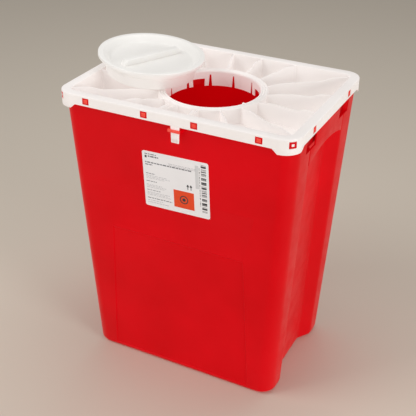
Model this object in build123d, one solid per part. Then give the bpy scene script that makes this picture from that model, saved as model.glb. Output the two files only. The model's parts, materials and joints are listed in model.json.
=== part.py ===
"""Large-volume sharps container: nestable bin, clip-on tray lid with a round port, loose screw cap.

Millimetres, +Z up. The origin is the middle of the base, on the surface the bin stands on.
The front, which carries the label and the lid latch, faces -Y. The handles are on -X and +X.
"""
import os
from math import atan, atan2, cos, degrees, hypot, radians, tan

from build123d import *

# ---------------------------------------------------------------- driving dimensions
# overall
lid_width = 440.0            # X, over the lid's skirt
lid_depth = 322.0            # Y, over the lid's skirt
lid_top = 544.0              # floor to the lid's rim
lid_corner = 30.0            # outer corner radius of the lid

# bin
side_overhang = 3.5          # lid's skirt past the bin's side wall, at the rim
front_overhang = 11.0        # lid's skirt past the bin's front and back walls, at the rim
side_taper = 28.5            # each side wall leans in by this, from rim to base
front_taper = 21.0           # the front and back walls lean in by this
base_corner = 27.0           # corner radius at the base
rim_corner = 32.0            # corner radius at the rim
bin_wall = 2.0
bin_floor = 2.5
base_round = 10.0            # rounding between walls and base

# rim of the bin, inside the lid's channel
rim_lip_height = 12.0
rim_lip = 2.0
rim_web = 2.5
rim_clearance = 0.3          # rim lip to the lid's skirt

# troughs in both side walls, which nest and give room for fingers
trough_half_outer = 79.0
trough_half_inner = 53.0
trough_depth_base = 17.0
trough_depth_top = 21.0
tray_clearance = 0.6         # bin to the underside and the walls of the lid's tray
shelf_below_skirt = 4.0      # top of the shallow recess, under the skirt's lower edge

# handles, bridging the top of the troughs
handle_thickness = 3.0
handle_end_drop = 56.0       # how far the ends hang below the recess's top
handle_arch = 14.0           # the middle of the lower edge is this much higher

# shallow recess under the lid, behind the handle and open in a pocket at each of its ends
pocket_inner = 56.0          # from the middle of the side
pocket_past_trough = 21.0    # the recess is this much longer, at each end
recess_overlap = 3.4         # the recess's lower edge, below the trough's top

# lid
lid_wall = 2.0
skirt_height = 18.0
skirt_corner_drop = 8.0
skirt_corner_x = 40.0        # length of the deeper skirt along X, from the lid's corner
skirt_corner_y = 33.0
skirt_slope = 9.0            # run of the sloped end of the deeper skirt
rim_width = 17.0
rim_round = 1.6
tray_wall = 1.8
tray_depth = 40.0            # rim top to the tray's floor
tray_corner = 20.0

# snap tabs of the bin, showing through slots in the skirt
tab_width = 12.0
tab_height = 11.0
tab_below_web = 2.0          # the lid's web to the tab's top edge
tab_inset = 0.4              # tab's face behind the skirt's face
tab_clearance = 0.4
tab_front_x = (46.0, 158.0)  # from the middle of the front
tab_side_y = 83.0            # from the middle of the side

# ribs of the tray
rib_count = 16
rib_thickness = 2.0
rib_below_rim = 1.0
rib_step = 6.5               # lower level of the ribs, below their outer ends
rib_step_start = 21.0        # from the tray's wall
rib_step_end = 33.0
rib_collar_fall = 6.0        # the last drop of each rib, at the collar
rib_collar_run = 29.0

# port
port_radius = 83.5
lip_width = 12.5             # port to the outside of the collar
collar_wall = 2.0
collar_below_rim = 11.5      # rim top to the crest of the collar's lip
lip_thickness = 3.0
lip_fall = 1.5               # the lip is this much lower at its edges
lip_groove_width = 2.4
lip_groove_depth = 1.2
lip_groove_offsets = (4.3, 8.7)  # from the port

# flexible fingers hanging in the port
finger_count = 12
finger_wall = 1.5
finger_bottom = 1.0          # below the tray's floor
slit_top = 2.5
slit_bottom = 5.0
slit_from_lip = 10.0
notch_count = 4
notch_width = 25.0
notch_height = 9.0

# latch on the front: a tongue of the lid behind a loop of the bin
latch_x = 12.0
tongue_top_width = 16.0
tongue_tip_width = 14.0
tongue_length = 29.0
tongue_thickness = 1.8
loop_length = 24.0
loop_bar = 5.0               # height of the bar
loop_thickness = 3.0
loop_clearance = 0.5
loop_below_skirt = 5.0

# cap
cap_flange_overlap = 11.5    # flange past the port
cap_rim_height = 6.0
cap_wall = 2.0
cap_rim_width = 9.0          # flat top of the flange
cap_dish_run = 12.0          # width of the dish's sloped side
cap_dish_depth = 11.0
cap_fit = 1.2                # radial gap between cap's skirt and port
cap_height = 35.0            # flange top to the skirt's lower edge
grip_end_gap = 10.0          # end of the grip to the foot of the dish's side
grip_width = 14.0
grip_end_slope = 6.0
grip_below_rim = 1.0
grip_angle = 68.0            # from +X, about the cap's own axis

# where the cap lies: on the left rim and on the collar
cap_on_rim = 7.3             # how far the skirt's edge reaches over the rim, past the tray's wall
cap_y = 4.5
rest_gap = 1.0

# label
label_width = 125.0
label_height = 107.0
label_corner = 4.0
label_thickness = 0.4
label_x = 4.5
label_below_rim = 133.0      # middle of the label, below the lid's rim
label_turn = 1.5             # degrees, stuck on slightly crooked

# working allowances
reach = 300.0                # longer than any cutter needs to be

# ---------------------------------------------------------------- values worked out from those
skirt_bottom = lid_top - skirt_height
bin_top = lid_top - lid_wall                      # the lid's web rests on the bin's rim
base_width = lid_width - 2 * (side_overhang + side_taper)
base_depth = lid_depth - 2 * (front_overhang + front_taper)
recess_top = skirt_bottom - shelf_below_skirt
tray_width = lid_width - 2 * rim_width
tray_length = lid_depth - 2 * rim_width
tray_floor = lid_top - tray_depth
trough_top = tray_floor - lid_wall - tray_clearance - bin_wall
recess_bottom = trough_top - recess_overlap
pocket_outer = trough_half_outer + pocket_past_trough
recess_wall_x = tray_width / 2 + tray_wall + tray_clearance + bin_wall
collar_radius = port_radius + lip_width
lip_crest = lid_top - collar_below_rim
lip_under = lip_crest - lip_thickness
cap_skirt_radius = port_radius - cap_fit
cap_flange_radius = port_radius + cap_flange_overlap
cap_dish_top = cap_flange_radius - cap_rim_width
cap_dish_radius = cap_dish_top - cap_dish_run
cap_x = cap_skirt_radius - cap_on_rim - tray_width / 2
label_z = lid_top - label_below_rim


def side_x(z):
    """Half width of the bin's outside at a height."""
    return base_width / 2 + side_taper * z / bin_top


def front_y(z):
    """Half depth of the bin's outside at a height."""
    return base_depth / 2 + front_taper * z / bin_top


def corner(z):
    """Corner radius of the bin's outside at a height."""
    return base_corner + (rim_corner - base_corner) * z / bin_top


def rounded(width, depth, radius, z):
    """Rounded rectangle centred on the Z axis at a height."""
    return Pos(0, 0, z) * RectangleRounded(width, depth, radius)


def prism(width, depth, radius, z_low, z_high):
    """Upright prism on a rounded rectangle."""
    return extrude(rounded(width, depth, radius, z_low), z_high - z_low, dir=(0, 0, 1))


def ring_prism(outer, inner, z_low, z_high):
    """Upright ring between two rounded rectangles, each given as (width, depth, radius)."""
    return prism(*outer, z_low, z_high) - prism(*inner, z_low, z_high)


def block(x, y, z):
    """Box from three (low, high) pairs."""
    size = (x[1] - x[0], y[1] - y[0], z[1] - z[0])
    middle = ((x[0] + x[1]) / 2, (y[0] + y[1]) / 2, (z[0] + z[1]) / 2)
    return Pos(*middle) * Box(*size)


def four_ways(shape):
    """A shape and its mirror images in the XZ and YZ planes."""
    pair = [shape, mirror(shape, Plane.XZ)]
    return pair + [mirror(half, Plane.YZ) for half in pair]


def joined(shapes):
    """One compound of separate or fused solids."""
    first, *rest = shapes
    for shape in rest:
        first = first + shape
    return first


# ---------------------------------------------------------------- bin
def tapered(inset, z_low, z_high):
    """Solid inside the bin's tapered outside, set in by a wall."""
    sections = [
        rounded(2 * (side_x(z) - inset), 2 * (front_y(z) - inset), corner(z) - inset, z)
        for z in (z_low, z_high)
    ]
    return loft(sections, ruled=True)


def trough(wall):
    """Space of the right-hand trough; a wall of the bin around it makes it larger."""
    slope = atan(trough_depth_base / (trough_half_outer - trough_half_inner))
    gain = wall * tan(slope / 2)
    sections = []
    for z, depth in ((-base_round, trough_depth_base), (trough_top + wall, trough_depth_top)):
        mouth = side_x(z) - wall
        outer = trough_half_outer + gain
        inner = trough_half_inner + gain
        outline = [
            (mouth + reach, -outer),
            (mouth, -outer),
            (mouth - depth, -inner),
            (mouth - depth, inner),
            (mouth, outer),
            (mouth + reach, outer),
        ]
        sections.append(Pos(0, 0, z) * make_face(Polyline(*outline, close=True)))
    return loft(sections, ruled=True)


def recess(wall):
    """Shallow recess of the right-hand side, just under the lid and clear of its tray."""
    half = pocket_outer + wall
    return block(
        (recess_wall_x - wall, reach),
        (-half, half),
        (recess_bottom - wall, recess_top + wall),
    )


def side_cuts(wall):
    """Everything that the right-hand side wall folds around."""
    return trough(wall) + recess(wall)


def lip_outline(inset):
    """Width, depth and corner radius of the rim's turned-down lip."""
    gap = lid_wall + rim_clearance + inset
    return (lid_width - 2 * gap, lid_depth - 2 * gap, lid_corner - gap)


def make_container_body():
    outside = tapered(0, 0, bin_top)
    outside = fillet(outside.edges().group_by(Axis.Z)[0], base_round)
    inside = tapered(bin_wall, bin_floor, bin_top + bin_wall)
    cuts = side_cuts(0)
    outside = outside - cuts - mirror(cuts, Plane.YZ)
    walled = side_cuts(bin_wall)
    inside = inside - walled - mirror(walled, Plane.YZ)
    shell = outside - inside
    lip = ring_prism(lip_outline(0), lip_outline(rim_lip), bin_top - rim_lip_height, bin_top)
    web = prism(*lip_outline(0), bin_top - rim_web, bin_top)
    return shell + (lip + web - tapered(bin_wall, bin_top - rim_lip_height, bin_top))


def make_handle():
    """Right-hand handle: the plate that bridges the trough, with an arched lower edge."""
    lower = recess_top - handle_end_drop
    plate = tapered(0, lower, recess_top) - tapered(handle_thickness, lower, recess_top)
    open_ends = recess(0) & block((0, reach), (-pocket_inner, pocket_inner), (0, lid_top))
    plate = plate & (trough(0) + open_ends)
    end = trough_half_outer
    arch_line = ThreePointArc((-end, lower), (0, lower + handle_arch), (end, lower))
    under = make_face([arch_line, Line((end, lower), (-end, lower))])
    arch = extrude(Plane.YZ * under, reach)
    pocket = block((0, reach), (pocket_inner, reach), (recess_bottom, lid_top))
    return plate - arch - pocket - mirror(pocket, Plane.XZ)


def tab_places():
    """Place and turn of each snap tab's middle, on the outside of the skirt."""
    places = []
    for x in tab_front_x:
        for across in (-1, 1):
            places.append((across * x, -lid_depth / 2, 0))
            places.append((across * x, lid_depth / 2, 180))
    for along in (-1, 1):
        places.append((lid_width / 2, along * tab_side_y, 90))
        places.append((-lid_width / 2, along * tab_side_y, -90))
    shift = lid_corner * (1 - cos(radians(45)))
    corner = (lid_width / 2 - shift, lid_depth / 2 - shift)
    places.append((corner[0], -corner[1], 45))
    places.append((-corner[0], -corner[1], -45))
    places.append((corner[0], corner[1], 135))
    places.append((-corner[0], corner[1], -135))
    return places


def tab_block(depth, inset, grow):
    """Block at one tab: depth inwards from the skirt's face, on the tab's own front."""
    top = lid_top - lid_wall - tab_below_web
    half = tab_width / 2 + grow
    return block((-half, half), (inset, depth), (top - tab_height - grow, top + grow))


def make_snap_tabs():
    behind = prism(*lip_outline(0), 0, lid_top)
    tabs = []
    for x, y, turn in tab_places():
        tab = Pos(x, y, 0) * Rot(0, 0, turn) * tab_block(lid_wall + rim_lip, tab_inset, 0)
        tabs.append(tab - behind)
    return joined(tabs)


def make_latch_loop():
    top = skirt_bottom - loop_below_skirt
    front = -lid_depth / 2 - loop_clearance - loop_thickness
    left = latch_x - loop_length / 2
    right = latch_x + loop_length / 2
    height = (top - loop_bar, top)
    bar = block((left, right), (front, front + loop_thickness), height)
    leg = block((left, left + loop_thickness), (front, 0), height)
    other_leg = block((right - loop_thickness, right), (front, 0), height)
    return bar + leg + other_leg - tapered(0, 0, bin_top)


# ---------------------------------------------------------------- lid
def corner_drop():
    """Space of the deeper skirt at the front right-hand corner."""
    low = skirt_bottom - skirt_corner_drop
    x = lid_width / 2 - skirt_corner_x
    y = lid_depth / 2 - skirt_corner_y
    along_x = [(x, skirt_bottom), (x + skirt_slope, low), (reach, low), (reach, skirt_bottom)]
    along_y = [(y, skirt_bottom), (y + skirt_slope, low), (reach, low), (reach, skirt_bottom)]
    wedge_x = extrude(Plane.XZ * make_face(Polyline(*along_x, close=True)), reach)
    wedge_y = extrude(Plane.YZ * make_face(Polyline(*along_y, close=True)), reach)
    return wedge_x & mirror(wedge_y, Plane.XZ)


def make_lid_tray():
    outer = (lid_width, lid_depth, lid_corner)
    skirt_inner = (lid_width - 2 * lid_wall, lid_depth - 2 * lid_wall, lid_corner - lid_wall)
    tray_inner = (tray_width, tray_length, tray_corner)
    tray_outer = (tray_width + 2 * tray_wall, tray_length + 2 * tray_wall, tray_corner + tray_wall)
    web = ring_prism(outer, tray_inner, lid_top - lid_wall, lid_top)
    web = fillet(web.edges().group_by(Axis.Z)[-1], rim_round)
    skirt = ring_prism(outer, skirt_inner, skirt_bottom, lid_top - lid_wall)
    low_ring = ring_prism(outer, skirt_inner, skirt_bottom - skirt_corner_drop, skirt_bottom)
    drops = [low_ring & space for space in four_ways(corner_drop())]
    wall = ring_prism(tray_outer, tray_inner, tray_floor - lid_wall, lid_top - lid_wall)
    floor = prism(*tray_outer, tray_floor - lid_wall, tray_floor)
    floor = floor - Cylinder(collar_radius - collar_wall, 2 * lid_top)
    lid = joined([web, skirt, *drops, wall, floor])
    for x, y, turn in tab_places():
        lid = lid - Pos(x, y, 0) * Rot(0, 0, turn) * tab_block(lid_wall + rim_lip, -rim_lip, tab_clearance)
    return lid


def rib_space():
    """Room that the ribs may fill: the tray, less the lowered middle and the collar."""
    top = lid_top - rib_below_rim
    low = top - rib_step
    tray = prism(tray_width, tray_length, tray_corner, tray_floor, top)
    sections = [
        rounded(tray_width - 2 * inset, tray_length - 2 * inset, tray_corner, z)
        for inset, z in ((rib_step_end, low), (rib_step_start, top))
    ]
    lowered = loft(sections, ruled=True)
    fall = [
        (collar_radius, low - rib_collar_fall),
        (collar_radius + rib_collar_run, low),
        (collar_radius, low),
    ]
    dip = revolve(Plane.XZ * make_face(Polyline(*fall, close=True)), Axis.Z)
    collar = Pos(0, 0, tray_floor) * Cylinder(
        collar_radius, tray_depth, align=(Align.CENTER, Align.CENTER, Align.MIN)
    )
    return tray - lowered - dip - collar


def make_lid_ribs():
    space = rib_space()
    half = rib_thickness / 2
    ribs = []
    for number in range(rib_count):
        turn = 360 / rib_count * (number + 0.5)
        plate = Rot(0, 0, turn) * block((0, reach), (-half, half), (tray_floor, lid_top))
        ribs.append(plate & space)
    return joined(ribs)


def make_port_collar():
    low = lip_crest - lip_fall
    inner = collar_radius - collar_wall
    section = [
        (inner, tray_floor),
        (collar_radius, tray_floor),
        (collar_radius, low),
        (collar_radius - collar_wall, lip_crest),
        (port_radius + collar_wall, lip_crest),
        (port_radius, low),
        (port_radius, lip_under),
        (inner, lip_under),
    ]
    collar = revolve(Plane.XZ * make_face(Polyline(*section, close=True)), Axis.Z)
    for offset in lip_groove_offsets:
        middle = Pos(port_radius + offset, lip_crest)
        groove = Plane.XZ * middle * Rectangle(lip_groove_width, 2 * lip_groove_depth)
        collar = collar - revolve(groove, Axis.Z)
    return collar


def make_port_fingers():
    bottom = tray_floor - finger_bottom
    ring = Pos(0, 0, bottom) * (
        Cylinder(port_radius + finger_wall, lip_under - bottom, align=(Align.CENTER, Align.CENTER, Align.MIN))
        - Cylinder(port_radius, lip_under - bottom, align=(Align.CENTER, Align.CENTER, Align.MIN))
    )
    slit_end = lip_crest - slit_from_lip
    slit = [
        (-slit_bottom / 2, bottom),
        (slit_bottom / 2, bottom),
        (slit_top / 2, slit_end),
        (-slit_top / 2, slit_end),
    ]
    cutter = extrude(Plane.YZ * make_face(Polyline(*slit, close=True)), reach)
    for number in range(finger_count):
        ring = ring - Rot(0, 0, 360 / finger_count * number) * cutter
    half = notch_width / 2
    notch = block((0, reach), (-half, half), (bottom, bottom + notch_height))
    for number in range(notch_count):
        ring = ring - Rot(0, 0, 360 / notch_count * (number + 0.5)) * notch
    return ring


def make_latch_tongue():
    outline = [
        (latch_x - tongue_top_width / 2, skirt_bottom),
        (latch_x + tongue_top_width / 2, skirt_bottom),
        (latch_x + tongue_tip_width / 2, skirt_bottom - tongue_length),
        (latch_x - tongue_tip_width / 2, skirt_bottom - tongue_length),
    ]
    face = Plane.XZ.offset(lid_depth / 2 - tongue_thickness) * make_face(Polyline(*outline, close=True))
    return extrude(face, tongue_thickness)


# ---------------------------------------------------------------- cap
def cap_pose():
    """Place of the cap's own frame, whose origin is the middle of the flange's top.

    The skirt's lower edge rests on the tray's rim and on the inner edge of the collar's crest.
    """
    crest = port_radius + collar_wall
    away = hypot(cap_x, cap_y)
    crossing = (away**2 + crest**2 - cap_skirt_radius**2) / (2 * away)
    rim_edge = tray_width / 2
    tilt = atan2(lid_top - lip_crest, rim_edge - crossing)
    middle = lid_top + rest_gap - (rim_edge + cap_x) * tan(tilt)
    return Pos(cap_x, cap_y, middle) * Rot(0, degrees(tilt), 0) * Pos(0, 0, cap_height)


def dish_slope(radius):
    """Height of the dish's sloped side, from the flange's top."""
    return -cap_dish_depth * (cap_dish_top - radius) / cap_dish_run


def make_cap_shell():
    under = dish_slope(cap_skirt_radius) - cap_wall
    skirt_inner = cap_skirt_radius - cap_wall
    section = [
        (0, -cap_dish_depth),
        (cap_dish_radius, -cap_dish_depth),
        (cap_dish_top, 0),
        (cap_flange_radius, 0),
        (cap_flange_radius, -cap_rim_height),
        (cap_flange_radius - cap_wall, -cap_rim_height),
        (cap_flange_radius - cap_wall, -cap_wall),
        (cap_dish_top, -cap_wall),
        (cap_skirt_radius, under),
        (cap_skirt_radius, -cap_height),
        (skirt_inner, -cap_height),
        (skirt_inner, dish_slope(skirt_inner) - cap_wall),
        (cap_dish_radius, -cap_dish_depth - cap_wall),
        (0, -cap_dish_depth - cap_wall),
    ]
    shell = revolve(Plane.XZ * make_face(Polyline(*section, close=True)), Axis.Z)
    return cap_pose() * shell


def make_cap_grip():
    """Finger bar across the dish."""
    foot = cap_dish_radius - grip_end_gap
    crown = foot - grip_end_slope
    profile = [
        (-foot, -cap_dish_depth),
        (foot, -cap_dish_depth),
        (crown, -grip_below_rim),
        (-crown, -grip_below_rim),
    ]
    bar = extrude(Plane.XZ * make_face(Polyline(*profile, close=True)), grip_width / 2, both=True)
    return cap_pose() * Rot(0, 0, grip_angle) * bar


# ---------------------------------------------------------------- label
def make_front_label():
    lean = degrees(atan(front_taper / bin_top))
    sheet = extrude(RectangleRounded(label_width, label_height, label_corner), label_thickness)
    upright = Rot(90 + lean, 0, 0) * Rot(0, 0, label_turn) * sheet
    return Pos(label_x, -front_y(label_z), label_z) * upright


# ---------------------------------------------------------------- write every node
def main():
    handle = make_handle()
    nodes = {
        "container_body": make_container_body(),
        "handle_right": handle,
        "handle_left": mirror(handle, Plane.YZ),
        "snap_tabs": make_snap_tabs(),
        "latch_loop": make_latch_loop(),
        "lid_tray": make_lid_tray(),
        "lid_ribs": make_lid_ribs(),
        "port_collar": make_port_collar(),
        "port_fingers": make_port_fingers(),
        "latch_tongue": make_latch_tongue(),
        "cap_shell": make_cap_shell(),
        "cap_grip": make_cap_grip(),
        "front_label": make_front_label(),
    }
    os.makedirs("parts", exist_ok=True)
    for name, shape in nodes.items():
        export_step(shape, f"parts/{name}.step")
        box = shape.bounding_box()
        print(name, len(shape.solids()), "solids", [round(v, 1) for v in (*box.min, *box.max)])


main()
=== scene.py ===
# %% [markdown]
# # A sharps container, dressed around its CAD frame
# The CAD model gives every part its size and place. This script loads that model as a fixed
# frame and puts finished surfaces around it: moulded red plastic for the bin, milky white
# plastic for the lid and cap, and a printed film label. Lengths are in metres.

# %% Load the frame
import json
from math import atan, cos, hypot, pi, radians, sin, sqrt

import bmesh
import bpy
from mathutils import Matrix, Vector


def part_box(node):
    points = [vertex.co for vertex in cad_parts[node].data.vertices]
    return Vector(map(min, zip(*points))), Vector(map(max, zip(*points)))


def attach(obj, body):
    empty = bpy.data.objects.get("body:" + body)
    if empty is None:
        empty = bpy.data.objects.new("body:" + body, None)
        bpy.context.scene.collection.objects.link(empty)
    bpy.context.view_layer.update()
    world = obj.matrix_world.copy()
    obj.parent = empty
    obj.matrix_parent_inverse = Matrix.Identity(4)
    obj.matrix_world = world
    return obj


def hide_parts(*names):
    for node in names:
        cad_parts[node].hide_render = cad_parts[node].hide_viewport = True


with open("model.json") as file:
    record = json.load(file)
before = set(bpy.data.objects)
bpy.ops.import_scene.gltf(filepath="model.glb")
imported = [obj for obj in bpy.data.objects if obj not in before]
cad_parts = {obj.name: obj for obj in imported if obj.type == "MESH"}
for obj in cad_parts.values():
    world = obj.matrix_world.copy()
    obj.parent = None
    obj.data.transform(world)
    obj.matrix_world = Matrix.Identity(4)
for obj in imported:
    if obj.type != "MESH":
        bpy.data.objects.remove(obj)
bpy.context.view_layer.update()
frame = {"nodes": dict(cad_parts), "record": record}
nodes = frame["nodes"]

# %% [markdown]
# ## Camera
# The container is seen from its front right, from well above the rim. The direction is written
# as a unit vector, and a small roll turns the picture about it. A long lens keeps the tall
# walls nearly parallel.

# %% Place the camera
CAMERA_PLACE = Vector((0.6189, -1.2506, 1.1023))
CAMERA_LOOK = Vector((-0.3871, 0.7726, -0.5032))
CAMERA_ROLL = radians(0.6)
CAMERA_LENS = 74.13


def camera_matrix(place, look, roll):
    """Camera axes: right, up and backwards, with the roll about the view direction."""
    right = look.cross(Vector((0, 0, 1))).normalized()
    up = right.cross(look).normalized()
    turned_right = right * cos(roll) + up * sin(roll)
    turned_up = up * cos(roll) - right * sin(roll)
    axes = Matrix((turned_right, turned_up, -look.normalized())).transposed()
    return Matrix.Translation(place) @ axes.to_4x4()


camera_data = bpy.data.cameras.new("camera")
camera_data.lens = CAMERA_LENS
camera = bpy.data.objects.new("camera", camera_data)
bpy.context.scene.collection.objects.link(camera)
camera.matrix_world = camera_matrix(CAMERA_PLACE, CAMERA_LOOK, CAMERA_ROLL)
bpy.context.scene.camera = camera
print("camera at", tuple(CAMERA_PLACE))

# %% [markdown]
# ## Floor and light
# A pale matt floor and a pale surround stand in for a studio. Four soft sheets give the light.
# The key sheet stands above and to the left. The side sheet is the strongest, because the right
# wall and its trough face away from the others. A weak one low in front keeps the red from
# going black, and a wide one behind and above lights the tray and the cap. The Standard view
# shows colours as they are mixed; a filmic one would wash out so pure a red.

# %% Build the floor, the surround and the lamps
FLOOR_SIZE = 9.0
LAMPS = {
    "key_sheet": ((-1.5, -1.3, 2.2), 1.3, 24),
    "side_sheet": ((2.4, -0.9, 0.75), 1.0, 31),
    "front_sheet": ((-1.3, -2.3, 0.5), 1.2, 10),
    "top_sheet": ((0.1, 0.6, 2.6), 1.6, 17),
}
SURROUND = (0.92, 0.90, 0.87, 1)
SURROUND_STRENGTH = 0.36
FLOOR_COLOUR = (0.66, 0.59, 0.50, 1)
FLOOR_ROUGH = 0.6
LAMP_AIM = Vector((0, 0, 0.3))


def flat_material(name, colour, roughness):
    """Plain material for the stage."""
    material = bpy.data.materials.new(name)
    material.use_nodes = True
    shader = material.node_tree.nodes["Principled BSDF"]
    shader.inputs["Base Color"].default_value = colour
    shader.inputs["Roughness"].default_value = roughness
    return material


def add_lamp(name, place, size, power):
    """Square lamp that points at the container."""
    data = bpy.data.lights.new(name, "AREA")
    data.size = size
    data.energy = power
    lamp = bpy.data.objects.new(name, data)
    bpy.context.scene.collection.objects.link(lamp)
    lamp.location = place
    lamp.rotation_euler = (LAMP_AIM - Vector(place)).to_track_quat("-Z", "Y").to_euler()


floor_mesh = bpy.data.meshes.new("floor")
floor_bm = bmesh.new()
bmesh.ops.create_grid(floor_bm, x_segments=1, y_segments=1, size=FLOOR_SIZE / 2)
floor_bm.to_mesh(floor_mesh)
floor_bm.free()
floor = bpy.data.objects.new("floor", floor_mesh)
bpy.context.scene.collection.objects.link(floor)
floor_mesh.materials.append(flat_material("pale_floor", FLOOR_COLOUR, FLOOR_ROUGH))
for lamp_name, (lamp_place, lamp_size, lamp_power) in LAMPS.items():
    add_lamp(lamp_name, lamp_place, lamp_size, lamp_power)
world = bpy.data.worlds.new("surround")
world.use_nodes = True
world.node_tree.nodes["Background"].inputs["Color"].default_value = SURROUND
world.node_tree.nodes["Background"].inputs["Strength"].default_value = SURROUND_STRENGTH
bpy.context.scene.view_settings.view_transform = "Standard"
bpy.context.scene.world = world
print("floor, surround and", len(LAMPS), "lamps")

# %% [markdown]
# ## Moulded plastic
# Both plastics are polypropylene from a mould. The mould leaves a very fine grain, the cooling
# leaves a slow waviness, and handling leaves faint rubbed patches that are a little duller.
# One recipe makes all of them: noises on object coordinates drive colour, roughness and bump,
# and each plastic gives its own colours and strengths.
#
# A thin wall of this plastic also lets some light through. That could be a volume, but a volume
# is slow and a baked surface can't hold one. Here it is a small constant glow in the colour of
# that light. It is a stand-in: in a dark room it would look too bright and too even.

# %% A moulded plastic recipe
MIX_FACTOR, MIX_BELOW, MIX_ABOVE, MIX_RESULT = 0, 6, 7, 2
CLOUD_SCALE, CLOUD_BAND = 7.0, (0.35, 0.65)
RUB_SCALE, RUB_DETAIL, RUB_BAND = 38.0, 5.0, (0.4, 0.7)
WAVE_SCALE, WAVE_STRENGTH, WAVE_DEPTH = 9.0, 0.35, 0.0006
GRAIN_SCALE, GRAIN_STRENGTH, GRAIN_DEPTH = 1400.0, 0.3, 0.0002


def add_node(tree, kind, **values):
    """Node with its properties and the default values of its named inputs."""
    node = tree.nodes.new(kind)
    for key, value in values.items():
        label = key.replace("_", " ").title()
        if label in node.inputs:
            node.inputs[label].default_value = value
        else:
            setattr(node, key, value)
    return node


def noise(tree, places, scale, detail=3.0):
    """Grey noise on object coordinates."""
    node = add_node(tree, "ShaderNodeTexNoise", scale=scale, detail=detail)
    tree.links.new(places, node.inputs["Vector"])
    return node.outputs["Fac"]


def spread(tree, value, low, high, out_low=0.0, out_high=1.0):
    """Stretch of a value from one range to another."""
    node = tree.nodes.new("ShaderNodeMapRange")
    tree.links.new(value, node.inputs["Value"])
    for name, number in (("From Min", low), ("From Max", high), ("To Min", out_low), ("To Max", out_high)):
        node.inputs[name].default_value = number
    return node.outputs["Result"]


def tint(tree, factor, below, above):
    """Colour that turns from one to the other with a factor; each may be a colour or a link."""
    node = tree.nodes.new("ShaderNodeMix")
    node.data_type = "RGBA"
    tree.links.new(factor, node.inputs[MIX_FACTOR])
    for socket, colour in ((node.inputs[MIX_BELOW], below), (node.inputs[MIX_ABOVE], above)):
        if isinstance(colour, tuple):
            socket.default_value = colour
        else:
            tree.links.new(colour, socket)
    return node.outputs[MIX_RESULT]


def moulded(name, deep, pale, through, rough, specular=0.5, grain=GRAIN_DEPTH, wave=WAVE_DEPTH):
    """Moulded plastic that lets some light through."""
    material = bpy.data.materials.new(name)
    material.use_nodes = True
    tree = material.node_tree
    shader = tree.nodes["Principled BSDF"]
    places = tree.nodes.new("ShaderNodeTexCoord").outputs["Object"]
    cloud = spread(tree, noise(tree, places, CLOUD_SCALE), *CLOUD_BAND)
    colour = tint(tree, cloud, deep, pale)
    rubbed = spread(tree, noise(tree, places, RUB_SCALE, RUB_DETAIL), *RUB_BAND, *rough)
    tree.links.new(rubbed, shader.inputs["Roughness"])
    slow = add_node(tree, "ShaderNodeBump", strength=WAVE_STRENGTH, distance=wave)
    tree.links.new(noise(tree, places, WAVE_SCALE, 1.0), slow.inputs["Height"])
    fine = add_node(tree, "ShaderNodeBump", strength=GRAIN_STRENGTH, distance=grain)
    tree.links.new(noise(tree, places, GRAIN_SCALE, 2.0), fine.inputs["Height"])
    tree.links.new(slow.outputs["Normal"], fine.inputs["Normal"])
    tree.links.new(fine.outputs["Normal"], shader.inputs["Normal"])
    tree.links.new(colour, shader.inputs["Base Color"])
    shader.inputs["Emission Color"].default_value = through
    shader.inputs["Emission Strength"].default_value = 1.0
    shader.inputs["Specular IOR Level"].default_value = specular
    return material


print("recipe ready")

# %% [markdown]
# Four finishes cover the CAD model's slots: the bin's red, the lid's milk, the cap's slightly
# paler milk, and the label's film. Three more are used on parts of a piece. A paler red with a
# stronger glow is a painted highlight on crests and a bar, where light catches them. A dark
# red with a red glow is painted red light from the bin, on the inside of the lid's collar. A
# red that glows hardly at all is for the walls at the back of the handles: the lid's tray wall
# behind them lets almost no light through, and their darker tone is also painted shade.

# %% Mix the finishes
RED_DEEP, RED_PALE = (0.46, 0.0002, 0.003, 1), (0.54, 0.0006, 0.005, 1)
MILK_DEEP, MILK_PALE = (0.72, 0.70, 0.68, 1), (0.78, 0.76, 0.745, 1)
CAP_DEEP, CAP_PALE = (0.76, 0.75, 0.73, 1), (0.82, 0.81, 0.79, 1)
PAPER_DEEP, PAPER_PALE = (0.78, 0.77, 0.78, 1), (0.83, 0.82, 0.83, 1)
# Painted highlight: a paler red with a stronger glow, for crests and a bar where light catches them.
HIGHLIGHT_DEEP, HIGHLIGHT_PALE = (0.66, 0.035, 0.02, 1), (0.78, 0.09, 0.06, 1)
# Painted red light from the bin: white plastic coloured dark red, for the inside of the lid's collar.
RED_LIGHT_DEEP, RED_LIGHT_PALE = (0.40, 0.004, 0.006, 1), (0.48, 0.010, 0.012, 1)
RED_THROUGH = (0.21, 0.0, 0.001, 1)
MILK_THROUGH = (0.22, 0.19, 0.183, 1)
CAP_THROUGH = (0.14, 0.13, 0.12, 1)
PAPER_THROUGH = (0.09, 0.085, 0.085, 1)
HIGHLIGHT_THROUGH = (0.24, 0.012, 0.008, 1)
# Almost no glow, for the walls behind the handle pockets: partly no light comes through, partly painted
# shade.
RECESS_SHADE_THROUGH = (0.02, 0, 0, 1)
RED_ROUGH, RED_SHINE = (0.28, 0.40), 0.10
MILK_ROUGH, CAP_ROUGH, PAPER_ROUGH = (0.34, 0.48), (0.34, 0.46), (0.42, 0.55)
HIGHLIGHT_ROUGH, HIGHLIGHT_SHINE = (0.30, 0.42), 0.3
RED_LIGHT_ROUGH, RED_LIGHT_SHINE = (0.40, 0.50), 0.1
red_plastic = moulded("red_plastic", RED_DEEP, RED_PALE, RED_THROUGH, RED_ROUGH, RED_SHINE)
lid_plastic = moulded("lid_plastic", MILK_DEEP, MILK_PALE, MILK_THROUGH, MILK_ROUGH)
cap_plastic = moulded("cap_plastic", CAP_DEEP, CAP_PALE, CAP_THROUGH, CAP_ROUGH)
label_film = moulded("label_film", PAPER_DEEP, PAPER_PALE, PAPER_THROUGH, PAPER_ROUGH)
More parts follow.
